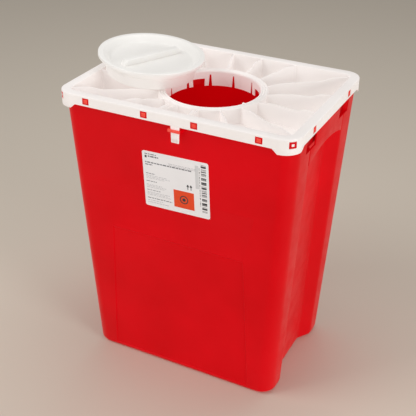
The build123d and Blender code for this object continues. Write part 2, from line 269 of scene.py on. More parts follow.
# Painted highlight: paler, more glowing red where light catches crests and the latch bar.
painted_highlight_red = moulded("painted_highlight_red", HIGHLIGHT_DEEP, HIGHLIGHT_PALE, HIGHLIGHT_THROUGH, HIGHLIGHT_ROUGH, HIGHLIGHT_SHINE)
# Painted red light from the bin, with the bin's red glow, on the inside of the lid's collar.
painted_red_light_milk = moulded("painted_red_light_milk", RED_LIGHT_DEEP, RED_LIGHT_PALE, RED_THROUGH, RED_LIGHT_ROUGH, RED_LIGHT_SHINE)
# Red with almost no glow: the recess walls are darker, partly from no light through and partly painted
# shade.
recess_shade_red = moulded("recess_shade_red", RED_DEEP, RED_PALE, RECESS_SHADE_THROUGH, RED_ROUGH, RED_SHINE)
FINISHES = {
    "red_bin": red_plastic, "white_lid": lid_plastic,
    "white_cap": cap_plastic, "label_paper": label_film,
}
for part in frame["record"]["subparts"]:
    cad_mesh = nodes[part["node"]].data
    cad_mesh.materials.clear()
    cad_mesh.materials.append(FINISHES[part["material_slot"]])
print("finishes on", len(nodes), "nodes")

# %% [markdown]
# ## Helpers for moulded pieces
# A moulded part is drawn here the way its mould is cut: as a few corner points whose corners
# are then rounded, and as rings of such points bridged into walls. A finished mesh gets merged
# doubles, outward faces, smooth shading with sharp creases, and a body to ride on.

# %% Mesh helpers
MM = 0.001
SMOOTH_UNDER = radians(32)
SHARP_OVER = radians(40)
MERGE = 0.01 * MM
PIECE_BODY = {"white_cap": "cap"}


def round_corners(bm, verts, radius, segments):
    """Rounds the corners of a flat outline."""
    bmesh.ops.bevel(
        bm, geom=verts, offset=radius, offset_type="OFFSET", segments=segments,
        profile=0.5, affect="VERTICES", clamp_overlap=True, material=-1,
    )


def round_edges(bm, edges, width, segments=2):
    """Rounds edges of a solid."""
    bmesh.ops.bevel(
        bm, geom=edges, offset=width, offset_type="OFFSET", segments=segments,
        profile=0.5, affect="EDGES", clamp_overlap=True, material=-1,
    )


def verts_of(made):
    """The vertices among what an operator made."""
    return [g for g in made if isinstance(g, bmesh.types.BMVert)]


def sharp_edges(bm, angle=SHARP_OVER):
    """Edges where two faces meet at more than an angle."""
    return [e for e in bm.edges if len(e.link_faces) == 2 and e.calc_face_angle(0) > angle]


def tidy(bm):
    """Merges doubles and turns the faces outwards."""
    bmesh.ops.remove_doubles(bm, verts=bm.verts, dist=MERGE)
    bmesh.ops.recalc_face_normals(bm, faces=bm.faces)


def join(bm, part):
    """Adds a finished part to a mesh."""
    mesh = bpy.data.meshes.new("part")
    part.to_mesh(mesh)
    part.free()
    bm.from_mesh(mesh)
    bpy.data.meshes.remove(mesh)


def thicken_sheet(piece, thickness, edge_width, edge_over):
    """Gives a sheet its thickness, inwards, and softens its sharp edges."""
    wall = piece.modifiers.new("wall", "SOLIDIFY")
    wall.thickness = thickness
    wall.offset = -1
    edge = piece.modifiers.new("edge", "BEVEL")
    edge.width = edge_width
    edge.segments = 2
    edge.limit_method = "ANGLE"
    edge.angle_limit = edge_over


def outline(bm, points, corners=()):
    """Flat face through points, with some corners rounded: (number, radius, segments)."""
    verts = [bm.verts.new(point) for point in points]
    bm.faces.new(verts)
    for number, radius, segments in corners:
        round_corners(bm, [verts[number]], radius, segments)


def finish_piece(bm, name, slot, *replaced, finish=None):
    """Object for a finished mesh, riding on its body and standing for CAD nodes."""
    mesh = bpy.data.meshes.new(name)
    bm.to_mesh(mesh)
    bm.free()
    mesh.shade_smooth()
    mesh.set_sharp_from_angle(angle=SMOOTH_UNDER)
    mesh.materials.append(finish or FINISHES[slot])
    piece = bpy.data.objects.new(name, mesh)
    bpy.context.scene.collection.objects.link(piece)
    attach(piece, PIECE_BODY.get(slot, "container"))
    if replaced:
        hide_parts(*replaced)
    low, high = (Vector(f(v.co[i] for v in mesh.vertices) for i in range(3)) for f in (min, max))
    print(name, len(mesh.polygons), "faces", [round(v / MM, 1) for v in (*low, *high)])
    return piece


# %% [markdown]
# ## Sizes of the lid
# The lid's pieces fit each other, so their sizes are kept together. Heights come from the
# frame's boxes; the rest are wall thicknesses and widths of the moulding.

# %% Lid sizes
lid_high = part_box("lid_tray")[1]
collar_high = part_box("port_collar")[1]
finger_low, finger_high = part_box("port_fingers")
LID_TOP = lid_high.z
LID_HALF = (lid_high.x, lid_high.y)
LID_CORNER = 30 * MM
RIM_WIDTH = 17 * MM
RIM_ROUND = 1.6 * MM
LID_WALL = 2 * MM
TRAY_HALF = (LID_HALF[0] - RIM_WIDTH, LID_HALF[1] - RIM_WIDTH)
TRAY_CORNER = 20 * MM
TRAY_FLOOR = LID_TOP - 40 * MM
SKIRT_BOTTOM = LID_TOP - 18 * MM
PORT_RADIUS = 83.5 * MM
COLLAR_RADIUS = collar_high.x
print("tray floor", round(TRAY_FLOOR, 4), "collar radius", round(COLLAR_RADIUS, 4))

# %% [markdown]
# ## The cap
# The cap is a turned shape: a flange with a small rounded rim, a dished top, and a skirt that
# steps in and whose lower edge lies on the lid. How it fastens to the port can't be seen, so it
# has no thread or catch. A closed section is drawn in one half plane, its
# corners are rounded, and it is spun about the axis. It lies tilted, so the mesh is turned
# and moved by one matrix at the end.

# %% Where the cap lies
CAP_FIT = 1.2 * MM
CAP_SKIRT = PORT_RADIUS - CAP_FIT
CAP_Y = 4.5 * MM
CAP_ON_RIM = 7.3 * MM
CAP_X = CAP_SKIRT - CAP_ON_RIM - TRAY_HALF[0]
CAP_HEIGHT = 35 * MM
CAP_GAP = 1.0 * MM
GRIP_ANGLE = radians(68)


def cap_matrix():
    """Turn and place of the cap, whose own origin is the middle of the flange's top."""
    crest = PORT_RADIUS + LID_WALL
    away = hypot(CAP_X, CAP_Y)
    crossing = (away**2 + crest**2 - CAP_SKIRT**2) / (2 * away)
    tilt = atan((LID_TOP - collar_high.z) / (TRAY_HALF[0] - crossing))
    middle = LID_TOP + CAP_GAP - (TRAY_HALF[0] + CAP_X) * sin(tilt) / cos(tilt)
    turn = Matrix.Rotation(tilt, 4, "Y")
    return Matrix.Translation((CAP_X, CAP_Y, middle)) @ turn @ Matrix.Translation((0, 0, CAP_HEIGHT))


print("cap tilt matrix", [tuple(round(v, 3) for v in row) for row in cap_matrix()])

# %% Spin the cap
FLANGE = 95 * MM
FLANGE_HEIGHT = 6 * MM
DISH_TOP = FLANGE - 9 * MM
DISH_RADIUS = DISH_TOP - 12 * MM
DISH_DEPTH = 11 * MM
CAP_WALL = 2 * MM
SHOULDER_DROP = 4.5 * MM
STEP_TOP, STEP_FOOT, STEP_IN = 16 * MM, 17 * MM, 1.4 * MM
SKIRT_IN = 2.2 * MM
NECK_DROP, NECK_IN = 12 * MM, 3.6 * MM
SPIN_STEPS = 128
AXIS_GAP = 0.004 * MM


def spun(bm, points, rounds, steps=SPIN_STEPS):
    """Closed section in the XZ plane, rounded and spun about Z."""
    outline(bm, [(x, 0, z) for x, z in points], rounds)
    bmesh.ops.delete(bm, geom=bm.faces[:], context="FACES_ONLY")
    bmesh.ops.spin(
        bm, geom=bm.verts[:] + bm.edges[:], axis=(0, 0, 1), cent=(0, 0, 0),
        angle=2 * pi, steps=steps, use_merge=True, use_duplicate=False,
    )


cap_section = [
    (AXIS_GAP, -DISH_DEPTH), (DISH_RADIUS, -DISH_DEPTH), (DISH_TOP, 0), (FLANGE, 0),
    (FLANGE, -FLANGE_HEIGHT), (FLANGE - CAP_WALL, -FLANGE_HEIGHT), (FLANGE - CAP_WALL, -CAP_WALL),
    (DISH_TOP + MM, -CAP_WALL), (CAP_SKIRT, -CAP_WALL - SHOULDER_DROP),
    (CAP_SKIRT, -STEP_TOP), (CAP_SKIRT - STEP_IN, -STEP_FOOT), (CAP_SKIRT - SKIRT_IN, -CAP_HEIGHT),
    (CAP_SKIRT - SKIRT_IN - CAP_WALL, -CAP_HEIGHT), (CAP_SKIRT - NECK_IN, -NECK_DROP),
    (DISH_RADIUS, -DISH_DEPTH - CAP_WALL), (AXIS_GAP, -DISH_DEPTH - CAP_WALL),
]
# corner of the section, its radius, its segments
cap_rounds = [
    (1, 3 * MM, 4), (2, 1.5 * MM, 4), (3, 1.4 * MM, 4), (4, 0.7 * MM, 3), (5, 0.6 * MM, 2),
    (9, 0.6 * MM, 3), (10, 0.6 * MM, 3), (11, 0.8 * MM, 3), (12, 0.8 * MM, 3), (14, 2 * MM, 3),
]
cap_bm = bmesh.new()
spun(cap_bm, cap_section, cap_rounds)
tidy(cap_bm)
cap_bm.transform(cap_matrix())
finish_piece(cap_bm, "cap_disc", "white_cap", "cap_shell")

# %% [markdown]
# The grip is a bar across the dish. It starts as a cube, its ends are pushed into slopes, and
# its edges are rounded.

# %% Shape the grip
GRIP_HALF = DISH_RADIUS - 10 * MM
GRIP_WIDTH = 14 * MM
GRIP_SLOPE = 6 * MM
GRIP_TOP = -1 * MM
GRIP_EDGE = 2.2 * MM
grip_bm = bmesh.new()
bmesh.ops.create_cube(grip_bm, size=1)
grip_height = DISH_DEPTH + GRIP_TOP + CAP_WALL / 2
bmesh.ops.scale(grip_bm, vec=(2 * GRIP_HALF, GRIP_WIDTH, grip_height), verts=grip_bm.verts)
bmesh.ops.translate(grip_bm, vec=(0, 0, GRIP_TOP - grip_height / 2), verts=grip_bm.verts)
for end in (-1, 1):
    crown = [v for v in grip_bm.verts if v.co.x * end > 0 and v.co.z > GRIP_TOP - MM]
    bmesh.ops.translate(grip_bm, vec=(-end * GRIP_SLOPE, 0, 0), verts=crown)
upper = [e for e in grip_bm.edges if max(v.co.z for v in e.verts) > GRIP_TOP - MM]
round_edges(grip_bm, upper, GRIP_EDGE, 4)
tidy(grip_bm)
grip_bm.transform(cap_matrix() @ Matrix.Rotation(GRIP_ANGLE, 4, "Z"))
finish_piece(grip_bm, "cap_grip_bar", "white_cap", "cap_grip")

# %% [markdown]
# ## The port
# The collar's lip is turned as well, with three soft ridges round its top, and a wall below it
# that runs down to the tray's floor. The side of that wall that faces the bin is painted in the
# bin's red with a red glow, painted red light from the bin, because red is what shows between
# the fingers; what really stands there is a guess. The fingers are thin springy blades between
# tapered slits. One blade is bent from a flat grid onto the port's circle, twelve copies are
# turned round, and the sheet is given its thickness.

# %% Spin the collar
LIP_FALL = 1.5 * MM
LIP_THICK = 3 * MM
RIDGE_DEPTH = 2 * MM
GROOVES = (4.3 * MM, 8.7 * MM)
GROOVE_HALF = 1.7 * MM
LIP_ROUND = 0.28 * MM
crest = collar_high.z
groove_points = []
for offset in GROOVES:
    middle = PORT_RADIUS + offset
    groove_points.append((middle - GROOVE_HALF, crest))
    groove_points.append((middle, crest - RIDGE_DEPTH))
    groove_points.append((middle + GROOVE_HALF, crest))
collar_inner = COLLAR_RADIUS - LID_WALL
collar_foot = TRAY_FLOOR - LID_WALL
collar_section = [
    (PORT_RADIUS, crest - LIP_THICK), (PORT_RADIUS, crest - LIP_FALL), (PORT_RADIUS + LID_WALL, crest),
    *groove_points,
    (collar_inner, crest), (COLLAR_RADIUS, crest - LIP_FALL), (COLLAR_RADIUS, collar_foot),
    (collar_inner, collar_foot), (collar_inner, crest - LIP_THICK),
]
collar_rounds = [(number, LIP_ROUND, 2) for number in range(1, len(collar_section) - 3)]
collar_bm = bmesh.new()
spun(collar_bm, collar_section, collar_rounds)
tidy(collar_bm)
lip_piece = finish_piece(collar_bm, "port_lip", "white_lid", "port_collar")
# The faces towards the bin take a dark red with a red glow: painted red light from the bin.
lip_piece.data.materials.append(painted_red_light_milk)
for polygon in lip_piece.data.polygons:
    middle = polygon.center
    faces_bin = hypot(middle.x, middle.y) < collar_inner + MERGE and middle.z < crest - LIP_THICK + MERGE
    polygon.material_index = 1 if faces_bin else 0
print("faces that take the bin's colour", sum(p.material_index for p in lip_piece.data.polygons))

# %% Bend the fingers
FINGERS = 12
FINGER_WALL = 1.5 * MM
SLIT_TOP = 3 * MM
SLIT_BOTTOM = 6.5 * MM
SLIT_START = crest - 8 * MM
NOTCH_TOP = finger_low.z + 14 * MM
NOTCH_EVERY = 3
COLUMNS = 12
NOTCH_COLUMNS = range(3, 9)
finger_radius = PORT_RADIUS + FINGER_WALL / 2
blade_rows = (finger_low.z, NOTCH_TOP, SLIT_START, finger_high.z)


def blade_point(column, height, number):
    """Point of a blade's grid; the outer two columns run down the middles of the slits."""
    half = pi / FINGERS
    share = 2 * (column - 1) / (COLUMNS - 2) - 1
    if abs(share) > 1:
        angle = half if share > 0 else -half
    else:
        drop = max(0, SLIT_START - height) / (SLIT_START - finger_low.z)
        slit = SLIT_TOP + (SLIT_BOTTOM - SLIT_TOP) * drop
        angle = share * (half - slit / 2 / PORT_RADIUS)
    turned = angle + half * (2 * number + 1)
    return Vector((finger_radius * cos(turned), finger_radius * sin(turned), height))


def add_blade(bm, number):
    """A springy blade with half a slit at each side; every third blade has a notch below."""
    rows = len(blade_rows) - 1
    grid = bmesh.ops.create_grid(bm, x_segments=COLUMNS, y_segments=rows, size=1)["verts"]
    cut = []
    for face in {f for v in grid for f in v.link_faces}:
        place = face.calc_center_median()
        column = int((place.x + 1) / 2 * COLUMNS)
        row = int((place.y + 1) / 2 * rows)
        in_slit = column in (0, COLUMNS - 1) and row < rows - 1
        in_notch = column in NOTCH_COLUMNS and row == 0 and number % NOTCH_EVERY == 1
        if in_slit or in_notch:
            cut.append(face)
    for vert in grid:
        column = round((vert.co.x + 1) / 2 * COLUMNS)
        vert.co = blade_point(column, blade_rows[round((vert.co.y + 1) / 2 * rows)], number)
    bmesh.ops.delete(bm, geom=cut, context="FACES")


finger_bm = bmesh.new()
for number in range(FINGERS):
    add_blade(finger_bm, number)
tidy(finger_bm)
bmesh.ops.solidify(finger_bm, geom=finger_bm.faces[:], thickness=FINGER_WALL)
for vert in finger_bm.verts:
    vert.co.z = min(max(vert.co.z, finger_low.z), finger_high.z)
tidy(finger_bm)
finish_piece(finger_bm, "port_blades", "white_lid", "port_fingers")

# %% [markdown]
# ## The lid's tray
# The lid is one wall that runs from the lower edge of its skirt, over a rounded rim, down the
# inside of the tray and across to the collar. Each level is a rounded rectangle; bridging
# them in turn gives the wall's outer surface. The skirt hangs deeper at the four corners.
# Slots for the snap tabs are cut before the sheet is given its thickness.

# %% Draw the levels of the lid
CORNER_STEPS = 10
LONG_SIDE = 100 * MM
SIDE_CUTS = 15
DROP_DEPTH = 8 * MM
DROP_START = (LID_HALF[0] - 40 * MM, LID_HALF[1] - 33 * MM)
DROP_RUN = 9 * MM
FLOOR_ROUND = 2.5 * MM
ROUND_STEPS = 3
SLOT_GAP = 0.4 * MM
tab_low, tab_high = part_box("snap_tabs")
slot_levels = (tab_low.z - SLOT_GAP, tab_high.z + SLOT_GAP)


def level(bm, inset, height, radius):
    """Edges of a rounded rectangle, set in from the lid's outline; long sides have extra points."""
    x, y = LID_HALF[0] - inset, LID_HALF[1] - inset
    points = []
    for sx, sy in ((1, 1), (-1, 1), (-1, -1), (1, -1)):
        along_x = [(sx * (DROP_START[0] + run), sy * y, height) for run in (0, DROP_RUN)]
        along_y = [(sx * x, sy * DROP_START[1], height)]
        corner = [(sx * x, sy * y, height)]
        points += along_y + corner + along_x[::-1] if sx == sy else along_x + corner + along_y
    old_edges, old_faces = set(bm.edges), set(bm.faces)
    verts = [bm.verts.new(point) for point in points]
    bm.faces.new(verts)
    corners = [v for v in verts if abs(v.co.x) > x - MERGE and abs(v.co.y) > y - MERGE]
    round_corners(bm, corners, radius, CORNER_STEPS)
    bmesh.ops.delete(bm, geom=[f for f in bm.faces if f not in old_faces], context="FACES_ONLY")
    edges = [e for e in bm.edges if e not in old_edges]
    long_edges = [e for e in edges if e.calc_length() > LONG_SIDE]
    bmesh.ops.subdivide_edges(bm, edges=long_edges, cuts=SIDE_CUTS)
    edges = [e for e in bm.edges if e not in old_edges]
    return edges


def lid_levels():
    """Inset, height and corner radius of each level, from the skirt's edge to the tray's floor."""
    levels = [(0, z, LID_CORNER) for z in (SKIRT_BOTTOM, *slot_levels)]
    for step in range(ROUND_STEPS + 1):
        angle = pi / 2 * step / ROUND_STEPS
        inset = RIM_ROUND * (1 - cos(angle))
        levels.append((inset, LID_TOP - RIM_ROUND * (1 - sin(angle)), LID_CORNER - inset))
    for step in range(ROUND_STEPS + 1):
        angle = pi / 2 * (1 - step / ROUND_STEPS)
        inset = RIM_WIDTH - RIM_ROUND * (1 - cos(angle))
        levels.append((inset, LID_TOP - RIM_ROUND * (1 - sin(angle)), TRAY_CORNER + RIM_WIDTH - inset))
    for step in range(ROUND_STEPS + 1):
        angle = pi / 2 * step / ROUND_STEPS
        inset = RIM_WIDTH + FLOOR_ROUND * (1 - cos(angle))
        levels.append((inset, TRAY_FLOOR + FLOOR_ROUND * (1 - sin(angle)), TRAY_CORNER - inset + RIM_WIDTH))
    return levels


lid_bm = bmesh.new()
rings = [level(lid_bm, *values) for values in lid_levels()]
for lower, upper_ring in zip(rings, rings[1:]):
    bmesh.ops.bridge_loops(lid_bm, edges=lower + upper_ring)
print("lid levels", len(rings), "faces", len(lid_bm.faces))

# %% Join the tray's floor to the collar and drop the corners
floor_made = bmesh.ops.extrude_edge_only(lid_bm, edges=rings[-1])["geom"]
for vert in verts_of(floor_made):
    vert.co = Vector((*(vert.co.xy.normalized() * (collar_inner + LID_WALL / 2)), TRAY_FLOOR))
for vert in {v for e in rings[0] for v in e.verts}:
    runs = ((abs(vert.co.x) - DROP_START[0]) / DROP_RUN, (abs(vert.co.y) - DROP_START[1]) / DROP_RUN)
    vert.co.z -= DROP_DEPTH * min(1, max(0, min(runs)))
print("floor joined")

# %% Cut the slots
TAB_HALF = 6 * MM
TAB_FRONT_X = (46 * MM, 158 * MM)
TAB_SIDE_Y = 83 * MM
DIAGONAL = LID_CORNER * (1 - cos(pi / 4))


def tab_places():
    """Place and turn of each tab, on the outside of the skirt."""
    places = []
    for side in (-1, 1):
        for x in TAB_FRONT_X:
            places.append((side * x, -LID_HALF[1], 0))
            places.append((side * x, LID_HALF[1], pi))
        places.append((LID_HALF[0], side * TAB_SIDE_Y, pi / 2))
        places.append((-LID_HALF[0], side * TAB_SIDE_Y, -pi / 2))
    corner = (LID_HALF[0] - DIAGONAL, LID_HALF[1] - DIAGONAL)
    for number, (sx, sy) in enumerate(((1, -1), (1, 1), (-1, 1), (-1, -1))):
        places.append((sx * corner[0], sy * corner[1], pi / 4 + number * pi / 2))
    return places


def cut_slot(bm, place, turn):
    """Opening through the skirt for one tab."""
    along = Vector((cos(turn), sin(turn), 0))
    outwards = along.cross(Vector((0, 0, 1)))
    middle = Vector((*place, (slot_levels[0] + slot_levels[1]) / 2))
    for side in (-1, 1):
        near = [f for f in bm.faces if slot_levels[0] < f.calc_center_median().z < slot_levels[1]]
        near = [f for f in near if any((v.co - middle).dot(outwards) > -2 * DIAGONAL for v in f.verts)]
        near_edges = {e for f in near for e in f.edges}
        near_verts = {v for f in near for v in f.verts}
        bmesh.ops.bisect_plane(
            bm, geom=near + list(near_edges) + list(near_verts), dist=MERGE,
            plane_co=middle + along * side * (TAB_HALF + SLOT_GAP), plane_no=along,
            clear_inner=False, clear_outer=False,
        )
    inside = [
        f for f in bm.faces
        if abs((f.calc_center_median() - middle).dot(along)) < TAB_HALF
        and (f.calc_center_median() - middle).length < 2 * TAB_HALF
        and slot_levels[0] < f.calc_center_median().z < slot_levels[1]
    ]
    bmesh.ops.delete(bm, geom=inside, context="FACES")


for x, y, turn in tab_places():
    cut_slot(lid_bm, (x, y), turn)
tidy(lid_bm)
print("slots cut", len(tab_places()))

# %% Give the lid its thickness
SHEET_SLACK = 0.2 * MM
LID_EDGE, LID_EDGE_OVER = 0.4 * MM, radians(50)
top_face = max(lid_bm.faces, key=lambda f: f.calc_center_median().z)
if top_face.normal.z < 0:
    bmesh.ops.reverse_faces(lid_bm, faces=lid_bm.faces)
lid_piece = finish_piece(lid_bm, "tray_lid", "white_lid", "lid_tray")
thicken_sheet(lid_piece, LID_WALL - SHEET_SLACK, LID_EDGE, LID_EDGE_OVER)

# %% [markdown]
# ## The ribs
# Sixteen thin ribs stand in the tray like the spokes of a wheel. Near the tray's wall a rib is
# almost as high as the rim, then its top edge swings down in a soft S and falls again at the
# collar. Each is drawn as a flat outline with rounded corners, then extruded.

# %% Raise the ribs
RIBS = 16
RIB_HALF = 1 * MM
RIB_TOP = LID_TOP - 1 * MM
RIB_LOW = RIB_TOP - 6.5 * MM
RIB_STEP = (21 * MM, 33 * MM)
RIB_FALL = 6 * MM
RIB_RUN = 29 * MM
RIB_EDGE = 0.5 * MM
RIB_SWING, SWING_STEPS = 0.9, 5
RIB_BEND, BEND_STEPS = 10 * MM, 4


def wall_distance(angle, inset):
    """Distance from the middle to the tray's rounded wall, or to a line set in from it."""
    half = Vector((TRAY_HALF[0] - inset, TRAY_HALF[1] - inset))
    ray = Vector((abs(cos(angle)), abs(sin(angle))))
    straight = min(half.x / ray.x, half.y / ray.y)
    centre = half - Vector((TRAY_CORNER, TRAY_CORNER))
    hit = ray * straight
    if hit.x < centre.x or hit.y < centre.y:
        return straight
    along = ray.dot(centre)
    return along + sqrt(along**2 - centre.length_squared + TRAY_CORNER**2)


def add_rib(bm, angle):
    """One rib, as a rounded outline along X that is extruded, softened and turned."""
    part = bmesh.new()
    wall, high, low = (wall_distance(angle, inset) for inset in (0, *RIB_STEP))
    foot = COLLAR_RADIUS - RIB_HALF
    points = [
        (foot, TRAY_FLOOR), (wall + RIB_HALF, TRAY_FLOOR), (wall + RIB_HALF, RIB_TOP), (high, RIB_TOP),
        (low, RIB_LOW), (max(COLLAR_RADIUS + RIB_RUN, foot), RIB_LOW), (foot, RIB_LOW - RIB_FALL),
    ]
    swing = (high - low) / 2 * RIB_SWING
    rounds = [(3, swing, SWING_STEPS), (4, swing, SWING_STEPS), (5, RIB_BEND, BEND_STEPS)]
    outline(part, [(x, -RIB_HALF, z) for x, z in points], rounds)
    made = bmesh.ops.extrude_face_region(part, geom=part.faces[:])["geom"]
    bmesh.ops.translate(part, vec=(0, 2 * RIB_HALF, 0), verts=verts_of(made))
    bmesh.ops.recalc_face_normals(part, faces=part.faces)
    crown = [e for e in sharp_edges(part) if all(v.co.z > TRAY_FLOOR + MM for v in e.verts)]
    round_edges(part, crown, RIB_EDGE, 2)
    part.transform(Matrix.Rotation(angle, 4, "Z"))
    join(bm, part)


rib_bm = bmesh.new()
for number in range(RIBS):
    add_rib(rib_bm, 2 * pi / RIBS * (number + 0.5))
finish_piece(rib_bm, "tray_ribs", "white_lid", "lid_ribs")

# %% [markdown]
# ## Snap tabs
# Red tabs of the bin show through the slots. Each is a scaled cube with rounded edges, and a
# smaller block on its face makes the raised crest that catches the lid. The crests along the
# sides are a paler red, a painted highlight where light catches them. Those at the four corners
# are white blocks, a painted highlight for the white glint there.

# %% Add the snap tabs
TAB_DEPTH = 3 * MM
TAB_EDGE = 0.6 * MM
TAB_INSET = 0.4 * MM
SIDE_NUB, CORNER_NUB = 0.62, 0.38


def add_block(bm, size, place, turn, edge):
    """Block with rounded edges, turned about Z."""
    part = bmesh.new()
    bmesh.ops.create_cube(part, size=1)
    bmesh.ops.scale(part, vec=size, verts=part.verts)
    round_edges(part, part.edges[:], edge, 2)
    part.transform(Matrix.Translation(place) @ Matrix.Rotation(turn, 4, "Z"))
    join(bm, part)


tab_bm, nub_bm, corner_glint_bm = bmesh.new(), bmesh.new(), bmesh.new()
tab_middle = (tab_low.z + tab_high.z) / 2
for x, y, turn in tab_places():
    inward = Vector((-sin(turn), cos(turn), 0)) * (TAB_INSET + TAB_DEPTH / 2)
    tab_size = (2 * TAB_HALF, TAB_DEPTH, tab_high.z - tab_low.z)
    add_block(tab_bm, tab_size, Vector((x, y, tab_middle)) + inward, turn, TAB_EDGE)
    at_corner = abs(x) < LID_HALF[0] and abs(y) < LID_HALF[1]
    share = CORNER_NUB if at_corner else SIDE_NUB
    nub_size = (2 * TAB_HALF * share, TAB_INSET * 2, (tab_high.z - tab_low.z) * share)
    nub = Vector((x, y, tab_middle)) + inward.normalized() * TAB_INSET
    # Side crests go into the paler red, a painted highlight; corner crests are white blocks, a painted
    # highlight.
    add_block(corner_glint_bm if at_corner else nub_bm, nub_size, nub, turn, TAB_INSET / 2)
finish_piece(tab_bm, "snap_tab_row", "red_bin", "snap_tabs")
# Painted highlights: paler red crests along the sides, white blocks at the corners.
finish_piece(nub_bm, "snap_tab_crests", "red_bin", finish=painted_highlight_red)
finish_piece(corner_glint_bm, "corner_glint_blocks", "white_lid")

# %% [markdown]
# One small block stands on the collar's lip, at the front right. What it is for can't be seen.
# It is drawn as a plain block with rounded edges.

# %% Leave the nub on the lip
NUB_ANGLE = radians(-27)
NUB_SIZE = (4 * MM, 4 * MM, 3 * MM)
NUB_EDGE = 0.9 * MM
nub_reach = PORT_RADIUS + NUB_SIZE[0] / 2
lip_nub_bm = bmesh.new()
nub_place = Vector((nub_reach * cos(NUB_ANGLE), nub_reach * sin(NUB_ANGLE), crest))
add_block(lip_nub_bm, NUB_SIZE, nub_place, NUB_ANGLE, NUB_EDGE)
finish_piece(lip_nub_bm, "lip_nub", "white_lid")

# %% [markdown]
# ## The bin
# The bin's wall is drawn once as a flat outline at the base, with a trough in each side, and
# then drawn up in stages. At every stage a function says how far the wall leans out, how it
# curls in at the base, and where the troughs and the shallow recesses under the lid begin and
# end. The front and back walls get a shallow lower panel, inset between cut lines.

# %% Bin sizes
bin_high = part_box("container_body")[1]
handle_low, handle_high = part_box("handle_right")
BIN_TOP = bin_high.z
SIDE_TAPER, FRONT_TAPER = 28.5 * MM, 21 * MM
BIN_BASE = (LID_HALF[0] - 3.5 * MM - SIDE_TAPER, LID_HALF[1] - 11 * MM - FRONT_TAPER)
BIN_WALL = 2 * MM
BASE_CORNER = 27 * MM
BASE_ROUND = 10 * MM
TROUGH_MOUTH, TROUGH_FLOOR = 79 * MM, 53 * MM
TROUGH_DEPTH, TROUGH_GAIN = 17 * MM, 4 * MM
TROUGH_TOP = TRAY_FLOOR - 4.6 * MM
RECESS_END = 100 * MM
RECESS_LOW = TROUGH_TOP - 3.4 * MM
RECESS_HIGH = handle_high.z
RECESS_WALL = TRAY_HALF[0] + 4.4 * MM
TROUGH_ROUND, TROUGH_STEPS = 4 * MM, 4
TROUGH_KINK = 0.36
MOUTH_MARGIN, RECESS_STEEP = 2 * MM, 0.2
LIP_OUT = (1.2 * MM, 8.7 * MM)
LIP_DOWN = 12 * MM
print("bin base", BIN_BASE, "recess", round(RECESS_LOW, 4), round(RECESS_HIGH, 4))


# %% How the wall runs at each height
def base_outline(bm):
    """Outline of the base with its troughs; corner, mouth and floor of each trough rounded."""
    x, y = BIN_BASE
    inner = x - TROUGH_DEPTH
    kink_x = x - TROUGH_DEPTH * TROUGH_KINK
    kink_y = TROUGH_MOUTH - (TROUGH_MOUTH - TROUGH_FLOOR) * TROUGH_KINK
    half = [
        (x, -y), (x, -RECESS_END), (x, -TROUGH_MOUTH), (kink_x, -kink_y), (inner, -TROUGH_FLOOR),
        (inner, 0), (inner, TROUGH_FLOOR), (kink_x, kink_y), (x, TROUGH_MOUTH), (x, RECESS_END), (x, y),
    ]
    points = [(px, py, 0) for px, py in half] + [(-px, -py, 0) for px, py in half]
    rounds = {n: (TROUGH_ROUND, TROUGH_STEPS) for n in range(0, len(half), 2)}
    rounds[0] = rounds[len(half) - 1] = (BASE_CORNER, CORNER_STEPS)
    corners = [(n + shift, *rounds[n]) for shift in (0, len(half)) for n in rounds]
    outline(bm, points, corners)


def wall_point(base, height, kind):
    """Where a point of the base outline comes to at a height: in a trough, a recess or a full wall."""
    x, y = abs(base.x), abs(base.y)
    rise = height / BIN_TOP
    full_x = BIN_BASE[0] + SIDE_TAPER * rise
    curl = 0
    if height < BASE_ROUND:
        curl = BASE_ROUND - sqrt(BASE_ROUND**2 - (BASE_ROUND - height) ** 2)
    if y > RECESS_END + MERGE:
        new_x, new_y = x + SIDE_TAPER * rise - curl, y + FRONT_TAPER * rise - curl
    else:
        depth = (BIN_BASE[0] - x) * (1 + TROUGH_GAIN / TROUGH_DEPTH * rise)
        wall_x = full_x
        if kind == "trough":
            wall_x = full_x - depth
        elif kind == "recess" and y < RECESS_END - MERGE:
            wall_x = RECESS_WALL
        new_x, new_y = wall_x - curl, y
        if kind == "recess" and TROUGH_MOUTH - MOUTH_MARGIN < y < RECESS_END:
            new_y = RECESS_END - (RECESS_END - y) * RECESS_STEEP
    return Vector((new_x if base.x > 0 else -new_x, new_y if base.y > 0 else -new_y, height))


print("wall functions ready")

# %% Draw the wall up
PANEL_TOP, CREASE_TOP = 290 * MM, 383 * MM
BASE_STEPS = 5
base_curl = [BASE_ROUND * (1 - cos(pi / 2 * step / BASE_STEPS)) for step in range(1, BASE_STEPS + 1)]
STAGES = [(height, "trough") for height in base_curl]
STAGES += [(PANEL_TOP, "trough"), (CREASE_TOP, "trough"), (RECESS_LOW, "trough"), (RECESS_LOW, "recess")]
STAGES += [(RECESS_HIGH, "recess"), (RECESS_HIGH, "full"), (BIN_TOP, "full")]
bin_bm = bmesh.new()
base_outline(bin_bm)
base_home = {v: v.co.copy() for v in bin_bm.verts}
for vert, home in base_home.items():
    vert.co = wall_point(home, 0, "trough")
ring = bin_bm.edges[:]
for height, kind in STAGES:
    made = bmesh.ops.extrude_edge_only(bin_bm, edges=ring)["geom"]
    ring = [g for g in made if isinstance(g, bmesh.types.BMEdge)]
    fresh = verts_of(made)
    for vert in fresh:
        below = next(e.other_vert(vert) for e in vert.link_edges if e not in ring)
        base_home[vert] = base_home[below]
    for vert in fresh:
        vert.co = wall_point(base_home[vert], height, kind)
print("bin wall", len(bin_bm.faces), "faces")

